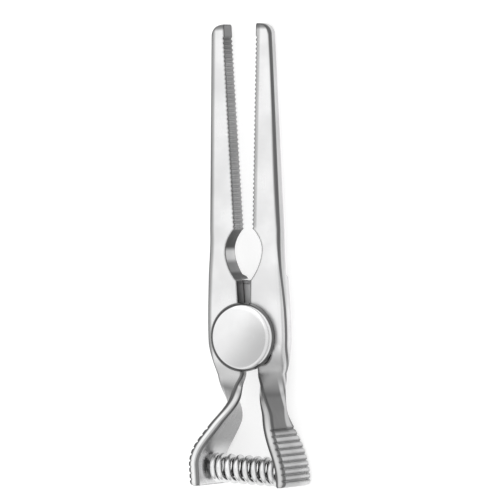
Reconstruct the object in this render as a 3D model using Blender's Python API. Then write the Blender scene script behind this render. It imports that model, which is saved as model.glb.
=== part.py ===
"""A small spring bulldog clamp: two forged steel arms lap-jointed on one broad-headed rivet.

Frame: metres, +Z up. The pivot axis is Z through the origin, on the flat rear end of the rivet.
The clamp lies flat with the rivet's broad head up; +Y points along the jaws and +X to the right.
The jaws stand open by twice HALF_OPENING. Squeezing the grips opens them further, and the coil
spring between the grips pushes them shut.
"""

from math import atan2, cos, hypot, pi, radians, sin

import bmesh
import bpy
from mathutils import Matrix, Vector

# Every length below is in millimetres
MM = 0.001

# Along an arm: y runs from the pivot axis towards the jaw's tip, and lengths are from that axis
JAW_LENGTH = 50.3
JAW_ROOT_Y = 17.4
THROAT_LOW_Y = 9.1
REAR_STEP_Y = 9.7
REAR_STEP_LENGTH = 0.5
SHOULDER_Y = -0.6
WAIST_Y = -8.0
WIDENING_Y = -8.5
WIDENING_LENGTH = 9.5
LEFT_BOW_Y = -9.2
RIGHT_BOW_Y = -8.0
LEFT_BEND_Y = -20.2
RIGHT_BEND_Y = -23.2
LEFT_TAIL_LENGTH = 23.4
RIGHT_TAIL_LENGTH = 23.8

# Across an arm: x runs outwards from the arm's own pivot line
INNER_X = 0.85
TIP_OUTER_X = 3.3
ROOT_OUTER_X = 5.65
JOINT_OUTER_X = 6.9
TAIL_OUTER_X = 5.55
WAIST_CENTRE_X = 3.45
LEFT_GRIP_CENTRE_X = 9.6
RIGHT_GRIP_CENTRE_X = 8.0
THROAT_DEPTH = 1.9
THROAT_PEAK = 0.42

# Thicknesses, widths and roundings of an arm
JOINT_THICKNESS = 4.5
ROOT_FRONT_Z = 1.75
ROOT_REAR_Z = -1.35
TIP_FRONT_Z = 1.35
TIP_REAR_Z = -1.35
TAIL_THICKNESS = 1.9
WAIST_WIDTH = 4.1
GRIP_WIDTH = 9.2
FRONT_ROUNDING = 0.6
REAR_ROUNDING = 1.9
JAW_EDGE_ROUNDING = 0.12
STRAP_ROUNDING = 0.4
TIP_CORNER_RADIUS = 1.7
END_CHAMFER = 0.25
GRIP_END_ROUNDING = 0.8

# Twist of the tails: each is wrung a quarter turn, the right one sooner
LEFT_TWIST_LENGTH = 8.0
RIGHT_TWIST_LENGTH = 7.0
FULL_TWIST = radians(91)

# Teeth across the jaw faces and grooves across the grips
TOOTH_PITCH = 0.72
TOOTH_DEPTH = 0.22
GROOVE_PITCH = 1.0
GROOVE_DEPTH = 0.26
GROOVE_WIDTH = 0.44
GROOVE_COUNT = 9
GROOVE_END_MARGIN = 1.1

# Opening of each arm from the middle, and how far the pair still closes
HALF_OPENING = radians(2.4)
CLOSING_SWING = radians(6.6)

# Lap joint: the left arm's lug lies in front and the right arm's behind
LUG_RADIUS = 5.0
LUG_SIDE_CLEARANCE = 0.15
LAP_GAP = 0.12
LUG_RELIEF = 0.05
TAB_TOP_Y = 9.0
TAB_REACH_X = 2.2
TAB_CHAMFER = 0.5

# Rivet and washer
SHANK_RADIUS = 1.6
BORE_CLEARANCE = 0.05
SEAT_GAP = 0.1
HEAD_RADIUS = 5.55
HEAD_HEIGHT = 1.9
HEAD_ROUNDING = 1.0
HEAD_CROWN = 0.12
HEAD_SIDE_CLEARANCE = 0.25
WASHER_RADIUS = 3.3
WASHER_THICKNESS = 0.4
UPSET_RADIUS = 2.4
UPSET_HEIGHT = 0.6
UPSET_FLAT_RADIUS = 1.6

# Coil spring between the grips, and the pegs that hold its ends
LEFT_SPRING_Y = -20.6
RIGHT_SPRING_Y = -21.65
COIL_OUTER_RADIUS = 2.4
WIRE_RADIUS = 0.5
COIL_PITCH = 1.6
CLOSED_PITCH = 1.08
SPRING_END_GAP = 0.08
PEG_RADIUS = 0.95
PEG_REACH = 1.6
PEG_ROUNDING = 0.3
SOCKET_DEPTH = 0.8
SOCKET_CLEARANCE = 0.05

# How finely round forms are faceted
ROUND_SEGMENTS = 48
CORNER_POINTS = 4
ARC_STATIONS = 6
THROAT_STATIONS = 12
SHOULDER_STATIONS = 7
TAIL_STATIONS = 14
COIL_STEPS = 18
WIRE_SIDES = 8

LEFT, RIGHT = -1, 1
LAYER = {LEFT: 1, RIGHT: -1}
TAIL_Z = (JOINT_THICKNESS - TAIL_THICKNESS) / 2
GRIP_END_Y = {LEFT: -LEFT_TAIL_LENGTH, RIGHT: -RIGHT_TAIL_LENGTH}
TWIST_START_Y = -HEAD_RADIUS - HEAD_SIDE_CLEARANCE
RIVET_REAR_DEPTH = JOINT_THICKNESS / 2 + 2 * SEAT_GAP + WASHER_THICKNESS + UPSET_HEIGHT


def clear_scene():
    for item in list(bpy.data.objects):
        bpy.data.objects.remove(item)


def material(name, colour, roughness):
    made = bpy.data.materials.new(name)
    made.use_nodes = True
    shader = made.node_tree.nodes["Principled BSDF"]
    shader.inputs["Base Color"].default_value = (*colour, 1)
    shader.inputs["Metallic"].default_value = 1
    shader.inputs["Roughness"].default_value = roughness
    return made


def mesh_object(name, points, faces, finish=None):
    """A closed mesh. One without a finish is a tool for a Boolean and is never rendered."""
    mesh = bpy.data.meshes.new(name)
    mesh.from_pydata([Vector(point) * MM for point in points], [], faces)
    shape = bmesh.new()
    shape.from_mesh(mesh)
    bmesh.ops.recalc_face_normals(shape, faces=shape.faces)
    shape.to_mesh(mesh)
    shape.free()
    mesh.shade_smooth()
    mesh.set_sharp_from_angle(angle=radians(30))
    made = bpy.data.objects.new(name, mesh)
    bpy.context.scene.collection.objects.link(made)
    if finish:
        mesh.materials.append(finish)
    else:
        made.hide_render = True
        made.display_type = "WIRE"
    return made


def loft(name, rings, finish=None):
    """A solid through rings of equally many points, capped at its first and last ring."""
    count = len(rings[0])
    last = (len(rings) - 1) * count
    faces = [tuple(range(count)), tuple(range(last, last + count))]
    for low in range(0, last, count):
        for i in range(count):
            after = (i + 1) % count
            faces.append((low + i, low + after, low + count + after, low + count + i))
    return mesh_object(name, [point for ring in rings for point in ring], faces, finish)


def turned(name, profile, finish=None, along="Z"):
    """A solid of revolution about Z or X. Its (radius, height) profile runs from end to end."""
    rings = []
    for radius, height in profile:
        ring = []
        for i in range(ROUND_SEGMENTS):
            u = radius * cos(2 * pi * i / ROUND_SEGMENTS)
            v = radius * sin(2 * pi * i / ROUND_SEGMENTS)
            ring.append((u, v, height) if along == "Z" else (height, u, v))
        rings.append(ring)
    return loft(name, rings, finish)


def boolean(target, operation, tool):
    tool.parent = target
    modifier = target.modifiers.new(tool.name, "BOOLEAN")
    modifier.operation = operation
    modifier.object = tool


def ease(share):
    """From 0 to 1, level at both ends."""
    share = min(max(share, 0), 1)
    return share * share * (3 - 2 * share)


def between(start, end, share):
    return start + (end - start) * share


def rounded(corners, radii):
    """A closed outline through corners (x, z), each turned by an arc that touches both its sides."""
    outline = []
    for i, (corner, radius) in enumerate(zip(corners, radii)):
        here = Vector(corner)
        back = (Vector(corners[i - 1]) - here).normalized()
        ahead = (Vector(corners[(i + 1) % len(corners)]) - here).normalized()
        half = back.angle(ahead) / 2
        middle = here + (back + ahead).normalized() * radius / sin(half)
        first = here + back * radius * cos(half) / sin(half) - middle
        last = here + ahead * radius * cos(half) / sin(half) - middle
        sweep = atan2(first.x * last.y - first.y * last.x, first.dot(last))
        for step in range(CORNER_POINTS):
            turn = Matrix.Rotation(sweep * step / (CORNER_POINTS - 1), 2)
            outline.append(middle + turn @ first)
    return outline


def block_outer_x(y):
    """The outer edge: a straight taper along the jaw, swelling smoothly into the joint."""
    if y >= JAW_ROOT_Y:
        return between(ROOT_OUTER_X, TIP_OUTER_X, (y - JAW_ROOT_Y) / (JAW_LENGTH - JAW_ROOT_Y))
    return between(JOINT_OUTER_X, ROOT_OUTER_X, ease(y / JAW_ROOT_Y) * 0.6 + max(y, 0) / JAW_ROOT_Y * 0.4)


def front_z(y):
    if y >= JAW_ROOT_Y:
        return between(ROOT_FRONT_Z, TIP_FRONT_Z, (y - JAW_ROOT_Y) / (JAW_LENGTH - JAW_ROOT_Y))
    return between(JOINT_THICKNESS / 2, ROOT_FRONT_Z, ease((y - THROAT_LOW_Y) / (JAW_ROOT_Y - THROAT_LOW_Y)))


def rear_z(y):
    """The rear face tapers along the jaw, and steps down where the joint is left thick."""
    if y >= JAW_ROOT_Y:
        return between(ROOT_REAR_Z, TIP_REAR_Z, (y - JAW_ROOT_Y) / (JAW_LENGTH - JAW_ROOT_Y))
    return between(-JOINT_THICKNESS / 2, ROOT_REAR_Z, ease((y - REAR_STEP_Y) / REAR_STEP_LENGTH))


def throat_cut(y):
    """How far the lens-shaped throat is hollowed into the arm's inner face."""
    share = (JAW_ROOT_Y - y) / (JAW_ROOT_Y - THROAT_LOW_Y)
    if not 0 < share < 1:
        return 0
    # the lens is widest nearer the jaws
    warped = share / THROAT_PEAK / 2 if share < THROAT_PEAK else 1 - (1 - share) / (1 - THROAT_PEAK) / 2
    return THROAT_DEPTH * sin(pi * warped) ** 0.8


def tail_centre_x(y, side):
    """The tail's middle line: nearly straight to the waist, then bowed out to the grip."""
    bow, bend, grip = RIGHT_BOW_Y, RIGHT_BEND_Y, RIGHT_GRIP_CENTRE_X
    if side == LEFT:
        bow, bend, grip = LEFT_BOW_Y, LEFT_BEND_Y, LEFT_GRIP_CENTRE_X
    top = (INNER_X + TAIL_OUTER_X) / 2
    if y > WAIST_Y:
        return between(WAIST_CENTRE_X, top, ease((y - WAIST_Y) / (TWIST_START_Y - WAIST_Y)))
    return between(WAIST_CENTRE_X, grip, ease((bow - y) / (bow - bend)))


def tail_twist(y, side):
    """How far the tail is wrung, most of it soon after it leaves the joint."""
    length = LEFT_TWIST_LENGTH if side == LEFT else RIGHT_TWIST_LENGTH
    share = min(max((TWIST_START_Y - y) / length, 0), 1)
    return FULL_TWIST * sin(pi / 2 * share**1.3)


def section(y, middle, width, thickness, twist, radii, sunk=0):
    """One ring of an arm. At no twist its width runs inwards along -X and its front faces +Z; a
    quarter turn brings its inner edge to the front and its front face outwards. sunk lowers the
    front face, for a groove."""
    long_side = Vector((-cos(twist), sin(twist)))
    front = Vector((sin(twist), cos(twist)))
    corners = []
    for end, face in ((1, -1), (1, 1), (-1, 1), (-1, -1)):
        depth = thickness / 2 - (sunk if face == 1 else 0)
        corners.append(middle + long_side * end * width / 2 + front * face * depth)
    return [(x, y, z) for x, z in rounded(corners, radii)]


def block_ring(y, cut=0, corner=0, inset=0):
    """A ring of the jaw or joint. cut deepens the inner face, corner trims the outer side, inset
    thins both faces."""
    inner = INNER_X + cut
    outer = block_outer_x(y) - corner
    thickness = front_z(y) - rear_z(y) - 2 * inset
    room = min(0.45 * thickness, 0.8 * (outer - inner))
    radii = [JAW_EDGE_ROUNDING, JAW_EDGE_ROUNDING, min(FRONT_ROUNDING, room), min(REAR_ROUNDING, room)]
    middle = Vector(((inner + outer) / 2, (front_z(y) + rear_z(y)) / 2))
    return section(y, middle, outer - inner, thickness, 0, radii)


def shoulder_ring(y, side):
    """A ring of the run-out, where the joint's full thickness sinks to the tail in its own layer."""
    share = (SHOULDER_Y - y) / (SHOULDER_Y - TWIST_START_Y)
    level = ease(share)
    outer = between(block_outer_x(SHOULDER_Y), TAIL_OUTER_X, share**1.5)
    middle = Vector(((INNER_X + outer) / 2, LAYER[side] * TAIL_Z * level))
    thickness = between(JOINT_THICKNESS, TAIL_THICKNESS, level)
    block = [JAW_EDGE_ROUNDING, JAW_EDGE_ROUNDING, FRONT_ROUNDING, REAR_ROUNDING]
    radii = [between(radius, STRAP_ROUNDING, level) for radius in block]
    return section(y, middle, outer - INNER_X, thickness, 0, radii)


def strap_width(y):
    """The tail narrows to its waist, then widens to the grip."""
    if y > WAIST_Y:
        return between(WAIST_WIDTH, TAIL_OUTER_X - INNER_X, ease((y - WAIST_Y) / (TWIST_START_Y - WAIST_Y)))
    return between(WAIST_WIDTH, GRIP_WIDTH, ease((WIDENING_Y - y) / WIDENING_LENGTH))


def strap_ring(y, side, sunk=0, inset=0):
    """A ring of the flat tail and grip, which come back to the middle from the arm's own layer."""
    step = 0.1
    slope = (tail_centre_x(y - step, side) - tail_centre_x(y + step, side)) / (2 * step)
    twist = tail_twist(y, side)
    lean = hypot(1, slope * sin(twist))
    centred = ease((TWIST_START_Y - y) / WIDENING_LENGTH)
    middle = Vector((tail_centre_x(y, side), LAYER[side] * TAIL_Z * (1 - centred)))
    thickness = TAIL_THICKNESS * lean - 2 * inset
    radii = [min(STRAP_ROUNDING, 0.45 * (thickness - sunk))] * 4
    return section(y, middle, strap_width(y) - 2 * inset, thickness, twist, radii, sunk)


def spaced(start, end, count):
    """Places from start towards end, without the end itself."""
    return [between(start, end, i / count) for i in range(count)]


def arm_rings(side):
    """Every ring of one arm, from the jaw's tip to the grip's end."""
    rings = []
    for i in range(ARC_STATIONS):
        angle = pi / 2 * i / (ARC_STATIONS - 1)
        y = JAW_LENGTH - TIP_CORNER_RADIUS * (1 - cos(angle))
        inset = max(0, END_CHAMFER - (JAW_LENGTH - y))
        rings.append(block_ring(y, corner=TIP_CORNER_RADIUS * (1 - sin(angle)), inset=inset))
    teeth = int((JAW_LENGTH - TIP_CORNER_RADIUS - JAW_ROOT_Y) / TOOTH_PITCH)
    for i in range(teeth):
        crest = JAW_ROOT_Y + (teeth - i) * TOOTH_PITCH
        rings.append(block_ring(crest))
        rings.append(block_ring(crest - TOOTH_PITCH / 2, cut=TOOTH_DEPTH))
    throat = spaced(JAW_ROOT_Y, THROAT_LOW_Y, THROAT_STATIONS)
    throat += [REAR_STEP_Y + REAR_STEP_LENGTH * share for share in (0, 0.25, 0.75, 1)]
    for y in sorted(throat, reverse=True):
        rings.append(block_ring(y, cut=throat_cut(y)))
    for y in spaced(THROAT_LOW_Y, SHOULDER_Y, ARC_STATIONS):
        rings.append(block_ring(y))
    for y in spaced(SHOULDER_Y, TWIST_START_Y, SHOULDER_STATIONS):
        rings.append(shoulder_ring(y, side))
    end_y = GRIP_END_Y[side]
    groove_tops = [end_y + GROOVE_END_MARGIN + i * GROOVE_PITCH for i in range(GROOVE_COUNT)][::-1]
    for y in spaced(TWIST_START_Y, groove_tops[0] + GROOVE_WIDTH, TAIL_STATIONS):
        rings.append(strap_ring(y, side))
    for y in groove_tops:
        rings.append(strap_ring(y + GROOVE_WIDTH / 2, side))
        rings.append(strap_ring(y, side, sunk=GROOVE_DEPTH))
        rings.append(strap_ring(y - GROOVE_WIDTH / 2, side))
    for angle in (0, 0.2 * pi, 0.35 * pi, pi / 2):
        # the outer face turns over into the end
        y = end_y + GRIP_END_ROUNDING * (1 - sin(angle))
        sunk = GRIP_END_ROUNDING * (1 - cos(angle))
        inset = max(0, END_CHAMFER - (y - end_y)) / 2
        rings.append(strap_ring(y, side, sunk=sunk, inset=inset))
    return rings


def lap_outline(radius, wide_radius=0, wide_from=0, wide_to=0):
    """A round outline about the pivot that steps out to wide_radius between two angles."""
    outline = []
    for i in range(ROUND_SEGMENTS * 2):
        angle = pi * i / ROUND_SEGMENTS
        reach = wide_radius if wide_from < angle < wide_to else radius
        outline.append((reach * cos(angle), reach * sin(angle)))
    return outline


def prism(name, outline, low, high):
    """A flat outline in X and Y, solid between two heights."""
    return loft(name, [[(x, y, z) for x, y in outline] for z in (low, high)])


def tab_solid():
    """The right lug's tongue, which closes the slot behind the left arm. Its top edge is bevelled."""
    low = -JOINT_THICKNESS / 2 + 2 * LUG_RELIEF
    high = -LAP_GAP / 2 - LUG_RELIEF
    bevel = [(TAB_TOP_Y, high - TAB_CHAMFER), (TAB_TOP_Y - TAB_CHAMFER, high)]
    profile = [(0, low), (TAB_TOP_Y, low), *bevel, (0, high)]
    return loft("right_tab", [[(x, y, z) for y, z in profile] for x in (-TAB_REACH_X, 2 * INNER_X)])


def spring_y(side):
    """How far along its own arm each end of the spring is seated: the right end a little lower."""
    return LEFT_SPRING_Y if side == LEFT else RIGHT_SPRING_Y


def grip_inner_x(y, side):
    """Where the middle of the grip's inner face lies in the arm's own frame."""
    return tail_centre_x(y, side) - TAIL_THICKNESS / 2


def make_arm(name, side, finish):
    layer = LAYER[side]
    rings = arm_rings(side)
    arm = loft(name, [[(side * x, y, z) for x, y, z in ring] for ring in rings], finish)
    arm.rotation_euler.z = -side * HALF_OPENING
    lap = layer * LAP_GAP / 2
    outside = layer * JOINT_THICKNESS / 2
    pocket = lap_outline(LUG_RADIUS + LUG_SIDE_CLEARANCE)
    if side == LEFT:
        # the other arm's tongue swings in this pocket, from rest to shut
        tab_corner = hypot(TAB_REACH_X, TAB_TOP_Y)
        turned_in = CLOSING_SWING - 2 * HALF_OPENING
        lean_at_lug = atan2(TAB_REACH_X, LUG_RADIUS)
        edge = pi / 2 + lean_at_lug + turned_in + radians(5)
        pocket = lap_outline(
            LUG_RADIUS + LUG_SIDE_CLEARANCE, tab_corner + LUG_SIDE_CLEARANCE, radians(75), edge
        )
    # The two slabs are cut well past the faces they open into
    cut_from, cut_to = sorted((lap, -layer * JOINT_THICKNESS))
    boolean(arm, "DIFFERENCE", prism(f"{name}_pocket", pocket, cut_from, cut_to))
    lug_from, lug_to = sorted((lap, outside - layer * LUG_RELIEF))
    boolean(arm, "UNION", prism(f"{name}_lug", lap_outline(LUG_RADIUS), lug_from, lug_to))
    if side == RIGHT:
        boolean(arm, "UNION", tab_solid())
    bore = [(SHANK_RADIUS + BORE_CLEARANCE, z) for z in (-JOINT_THICKNESS, JOINT_THICKNESS)]
    boolean(arm, "DIFFERENCE", turned(f"{name}_bore", bore))
    face = grip_inner_x(spring_y(side), side)
    socket = [(PEG_RADIUS + SOCKET_CLEARANCE, side * x) for x in (face - 1, face + SOCKET_DEPTH)]
    cutter = turned(f"{name}_socket", socket, along="X")
    cutter.location = Vector((0, spring_y(side), 0)) * MM
    boolean(arm, "DIFFERENCE", cutter)
    return arm


def make_peg(name, side, arm, finish):
    """A stub in a blind socket of the grip, standing inside the end of the coil."""
    face = grip_inner_x(spring_y(side), side)
    bottom = face + SOCKET_DEPTH - SOCKET_CLEARANCE
    tip = face - PEG_REACH
    profile = [
        (PEG_RADIUS, side * bottom),
        (PEG_RADIUS, side * (tip + PEG_ROUNDING)),
        (PEG_RADIUS - PEG_ROUNDING, side * tip),
    ]
    peg = turned(name, profile, finish, along="X")
    peg.parent = arm
    peg.location = Vector((0, spring_y(side), 0)) * MM
    return peg


def make_rivet(finish):
    """One turned piece: a broad flat head in front, the shank, and the end upset over the washer."""
    head_low = JOINT_THICKNESS / 2 + SEAT_GAP
    head_high = head_low + HEAD_HEIGHT
    upset_high = -(JOINT_THICKNESS / 2 + 2 * SEAT_GAP + WASHER_THICKNESS)
    flat = HEAD_RADIUS - HEAD_ROUNDING
    profile = [
        (UPSET_FLAT_RADIUS, upset_high - UPSET_HEIGHT),
        (between(UPSET_FLAT_RADIUS, UPSET_RADIUS, 0.6), upset_high - 0.8 * UPSET_HEIGHT),
        (UPSET_RADIUS, upset_high - 0.4 * UPSET_HEIGHT),
        (UPSET_RADIUS, upset_high),
        (SHANK_RADIUS, upset_high),
        (SHANK_RADIUS, head_low),
        (HEAD_RADIUS, head_low),
    ]
    for share in range(4):
        angle = pi / 2 * share / 3
        reach = flat + HEAD_ROUNDING * cos(angle)
        profile.append((reach, head_high - HEAD_ROUNDING * (1 - sin(angle))))
    profile += [(0.65 * flat, head_high + 0.7 * HEAD_CROWN), (0.2 * flat, head_high + HEAD_CROWN)]
    return turned("pivot_rivet", profile, finish)


def make_washer(finish):
    high = -(JOINT_THICKNESS / 2 + SEAT_GAP)
    low = high - WASHER_THICKNESS
    washer = turned("pivot_washer", [(WASHER_RADIUS, low), (WASHER_RADIUS, high)], finish)
    past = 2 * WASHER_THICKNESS
    hole = [(SHANK_RADIUS + BORE_CLEARANCE, low - past), (SHANK_RADIUS + BORE_CLEARANCE, high + past)]
    boolean(washer, "DIFFERENCE", turned("washer_hole", hole))
    return washer


def seat_point(side):
    """Where the coil's axis meets a grip's inner face, with both arms opened."""
    turn = Matrix.Rotation(-side * HALF_OPENING, 2)
    return turn @ Vector((side * grip_inner_x(spring_y(side), side), spring_y(side)))


def seat_gap(side, along):
    """How far the coil must stop short of a seat, for its whole round end to clear the face."""
    turn = Matrix.Rotation(-side * HALF_OPENING, 2)
    gaps = []
    for i in range(ROUND_SEGMENTS):
        angle = 2 * pi * i / ROUND_SEGMENTS
        y = spring_y(side) + COIL_OUTER_RADIUS * sin(angle)
        face = turn @ Vector((side * grip_inner_x(y, side), y))
        lean = COIL_OUTER_RADIUS * cos(angle) * sin(FULL_TWIST - pi / 2)
        gaps.append(side * (seat_point(side) - face).dot(along) + lean)
    return max(gaps) + SPRING_END_GAP + WIRE_RADIUS


def make_spring(finish):
    """A compression coil with one closed turn at each end, built along X and laid between its seats."""
    left_seat = seat_point(LEFT)
    span = seat_point(RIGHT) - left_seat
    along = span.normalized()
    start = seat_gap(LEFT, along)
    end = span.length - seat_gap(RIGHT, along)
    middle_radius = COIL_OUTER_RADIUS - WIRE_RADIUS
    open_length = end - start - 2 * CLOSED_PITCH
    open_turns = max(1, round(open_length / COIL_PITCH))
    open_pitch = open_length / open_turns
    steps = (open_turns + 2) * COIL_STEPS
    rings = []
    for i in range(steps + 1):
        turn = i / COIL_STEPS
        closed = min(turn, 1) + max(turn - 1 - open_turns, 0)
        opened = min(max(turn - 1, 0), open_turns)
        x = start + closed * CLOSED_PITCH + opened * open_pitch
        angle = 2 * pi * turn
        outwards = Vector((0, cos(angle), sin(angle)))
        pitch = CLOSED_PITCH if turn <= 1 or turn > 1 + open_turns else open_pitch
        ahead = Vector((pitch / (2 * pi * middle_radius), -sin(angle), cos(angle))).normalized()
        sideways = ahead.cross(outwards)
        centre = Vector((x, 0, 0)) + outwards * middle_radius
        ring = []
        for side in range(WIRE_SIDES):
            around = 2 * pi * side / WIRE_SIDES
            ring.append(centre + (outwards * cos(around) + sideways * sin(around)) * WIRE_RADIUS)
        rings.append(ring)
    spring = loft("coil_spring", rings, finish)
    spring.location = Vector((*left_seat, 0)) * MM
    spring.rotation_euler.z = atan2(along.y, along.x)
    return spring


def build():
    clear_scene()
    satin_steel = material("satin_steel", (0.74, 0.74, 0.74), 0.32)
    left_steel = material("left_arm_steel", (0.72, 0.72, 0.73), 0.34)
    peg_steel = material("peg_steel", (0.6, 0.6, 0.61), 0.3)
    rivet_steel = material("polished_rivet_steel", (0.8, 0.8, 0.81), 0.22)
    washer_steel = material("washer_steel", (0.66, 0.66, 0.67), 0.35)
    spring_wire = material("spring_wire", (0.62, 0.62, 0.63), 0.25)
    left_arm = make_arm("left_arm", LEFT, left_steel)
    right_arm = make_arm("right_arm", RIGHT, satin_steel)
    make_peg("left_spring_peg", LEFT, left_arm, peg_steel)
    make_peg("right_spring_peg", RIGHT, right_arm, peg_steel)
    rivet = make_rivet(rivet_steel)
    washer = make_washer(washer_steel)
    spring = make_spring(spring_wire)
    # Everything is drawn about the middle of the joint, then lifted off the rivet's rear face
    clamp = bpy.data.objects.new("clamp", None)
    bpy.context.scene.collection.objects.link(clamp)
    clamp.location.z = RIVET_REAR_DEPTH * MM
    for piece in (left_arm, right_arm, rivet, washer, spring):
        piece.parent = clamp


build()
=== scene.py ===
"""Looks of the bulldog clamp: polished steel, the wound spring, and a pale studio at the photo's angle."""

from math import atan2, cos, hypot, pi, radians, sin

import bmesh
import bpy
from mathutils import Matrix, Vector


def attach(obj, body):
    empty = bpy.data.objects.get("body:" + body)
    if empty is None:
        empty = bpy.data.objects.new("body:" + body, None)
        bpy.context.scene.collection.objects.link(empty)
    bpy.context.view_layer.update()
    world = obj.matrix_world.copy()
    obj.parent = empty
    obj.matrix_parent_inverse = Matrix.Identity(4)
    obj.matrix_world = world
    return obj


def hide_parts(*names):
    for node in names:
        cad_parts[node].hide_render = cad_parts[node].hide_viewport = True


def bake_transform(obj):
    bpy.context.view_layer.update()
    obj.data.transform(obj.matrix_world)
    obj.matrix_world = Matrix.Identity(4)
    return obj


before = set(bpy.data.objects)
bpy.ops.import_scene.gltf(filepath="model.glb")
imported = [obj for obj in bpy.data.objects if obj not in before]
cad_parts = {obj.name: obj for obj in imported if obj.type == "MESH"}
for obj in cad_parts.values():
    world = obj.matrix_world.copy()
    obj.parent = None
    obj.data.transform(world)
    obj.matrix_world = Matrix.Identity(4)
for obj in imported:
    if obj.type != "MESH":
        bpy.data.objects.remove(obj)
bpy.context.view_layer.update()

MM = 0.001

# Camera: the photo looks at the clamp from its right, almost from straight above
PIXELS_PER_MM = 6.24
CAMERA_TURN = radians(29)
CAMERA_LIFT = radians(0.5)
CAMERA_ROLL = radians(-1.4)
CAMERA_DISTANCE = 900 * MM
SENSOR_WIDTH = 36
PICTURE_SIDE = 500
PIVOT_PIXEL = (244.5, 337)
PIVOT_POINT = Vector((0, 0, 5.7)) * MM

# Coil spring: where its axis meets the two grips, and how it is wound
LEFT_SEAT = Vector((-7.78, -20.944, 3.45)) * MM
RIGHT_SEAT = Vector((6.005, -21.921, 3.45)) * MM
COIL_START = 0.853 * MM
COIL_END = 12.54 * MM
COIL_RADIUS = 1.9 * MM
WIRE_RADIUS = 0.5 * MM
CLOSED_PITCH = 1.04 * MM
OPEN_TURNS = 6.0

# The forged arms, in millimetres about the middle of the joint: the CAD's sizes, drawn more finely
LEFT, RIGHT = -1, 1
LAYER = {LEFT: 1, RIGHT: -1}
MIDDLE_Z = 3.45
HALF_OPENING = radians(2.4)
CLOSING_SWING = radians(6.6)
JAW_LENGTH = 50.3
JAW_ROOT_Y = 17.4
THROAT_LOW_Y = 9.1
REAR_STEP_Y = 9.7
REAR_STEP_LENGTH = 0.5
SHOULDER_Y = -0.6
SHOULDER_POWER = 1.5
TWIST_START_Y = -5.8
WAIST_Y = -8.0
WIDENING_Y = -8.5
WIDENING_LENGTH = 9.5
BOW_Y = {LEFT: -9.2, RIGHT: -8.0}
BEND_Y = {LEFT: -20.2, RIGHT: -23.2}
GRIP_END_Y = {LEFT: -23.4, RIGHT: -23.8}
INNER_X = 0.85
TIP_OUTER_X = 3.3
ROOT_OUTER_X = 5.65
JOINT_OUTER_X = 6.9
TAIL_OUTER_X = 5.55
WAIST_CENTRE_X = 3.45
GRIP_CENTRE_X = {LEFT: 9.6, RIGHT: 8.0}
THROAT_DEPTH = 1.9
THROAT_PEAK = 0.42
THROAT_POWER = 0.8
JOINT_THICKNESS = 4.5
ROOT_FRONT_Z = 1.75
ROOT_REAR_Z = -1.35
TIP_HALF_THICKNESS = 1.35
TAIL_THICKNESS = 1.9
TAIL_Z = (JOINT_THICKNESS - TAIL_THICKNESS) / 2
WAIST_WIDTH = 4.1
GRIP_WIDTH = 9.2
FRONT_ROUNDING = 0.6
REAR_ROUNDING = 1.9
JAW_EDGE_ROUNDING = 0.12
STRAP_ROUNDING = 0.6
TIP_CORNER_RADIUS = 1.7
END_CHAMFER = 0.25
GRIP_END_ROUNDING = 0.8
TWIST_LENGTH = {LEFT: 8.0, RIGHT: 7.0}
FULL_TWIST = radians(91)
TWIST_POWER = 1.3
TOOTH_PITCH = 0.72
TOOTH_DEPTH = 0.22
TOOTH_LAND = 0.05
GROOVE_PITCH = 1.0
GROOVE_COUNT = 9
GROOVE_END_MARGIN = 1.1
# half a groove's section: distance from its middle, and depth there
GROOVE_SIDE = ((0.25, 0.0), (0.2, 0.035), (0.07, 0.23))
GROOVE_SHAPE = (*GROOVE_SIDE, (0.0, 0.26), *((-offset, depth) for offset, depth in reversed(GROOVE_SIDE)))
LUG_RADIUS = 5.0
LUG_SIDE_CLEARANCE = 0.15
LAP_GAP = 0.12
# the part of the turn over which the left arm's pocket makes room for the tongue, as it swings
POCKET_START = radians(75)
POCKET_SPARE = radians(5)
LUG_RELIEF = 0.05
TAB_TOP_Y = 9.0
TAB_REACH_X = 2.2
TAB_CHAMFER = 0.5
BORE_RADIUS = 1.65
SOCKET_RADIUS = 1.0
SOCKET_DEPTH = 0.8
SPRING_Y = {LEFT: -20.6, RIGHT: -21.65}
CORNER_POINTS = 8
TIP_STATIONS = 12
THROAT_STATIONS = 40
REAR_STEP_STATIONS = 8
SHOULDER_STATIONS = 22
TAIL_STATIONS = 60
GRIP_END_STATIONS = 10
LUG_SEGMENTS = 160
SOCKET_SEGMENTS = 64


# node helpers


def wired(tree, kind, links=None, **settings):
    """A node with its settings, whose inputs are joined to other sockets or given values."""
    node = tree.nodes.new(kind)
    for key, value in settings.items():
        setattr(node, key, value)
    for key, value in (links or {}).items():
        if isinstance(value, bpy.types.NodeSocket):
            tree.links.new(value, node.inputs[key])
        else:
            node.inputs[key].default_value = value
    return node


def maths(tree, operation, *values, clamp=False):
    links = dict(enumerate(values))
    return wired(tree, "ShaderNodeMath", links, operation=operation, use_clamp=clamp).outputs[0]


def vector_maths(tree, operation, *values):
    return wired(tree, "ShaderNodeVectorMath", dict(enumerate(values)), operation=operation).outputs


def product(tree, *factors):
    total = factors[0]
    for factor in factors[1:]:
        total = maths(tree, "MULTIPLY", total, factor)
    return total


def noise(tree, place, scale, detail, roughness):
    links = {"Vector": place, "Scale": scale, "Detail": detail, "Roughness": roughness}
    return wired(tree, "ShaderNodeTexNoise", links).outputs[0]


def parts(tree, vector):
    return wired(tree, "ShaderNodeSeparateXYZ", {0: vector}).outputs


def in_millimetres(tree, position):
    return parts(tree, vector_maths(tree, "MULTIPLY", position, (1 / MM, 1 / MM, 1 / MM))[0])


def by_side(tree, on_right, left, right):
    """left on the left arm, right on the right one."""
    return wired(tree, "ShaderNodeMix", {0: on_right, 2: left, 3: right}, data_type="FLOAT").outputs[0]


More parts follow.
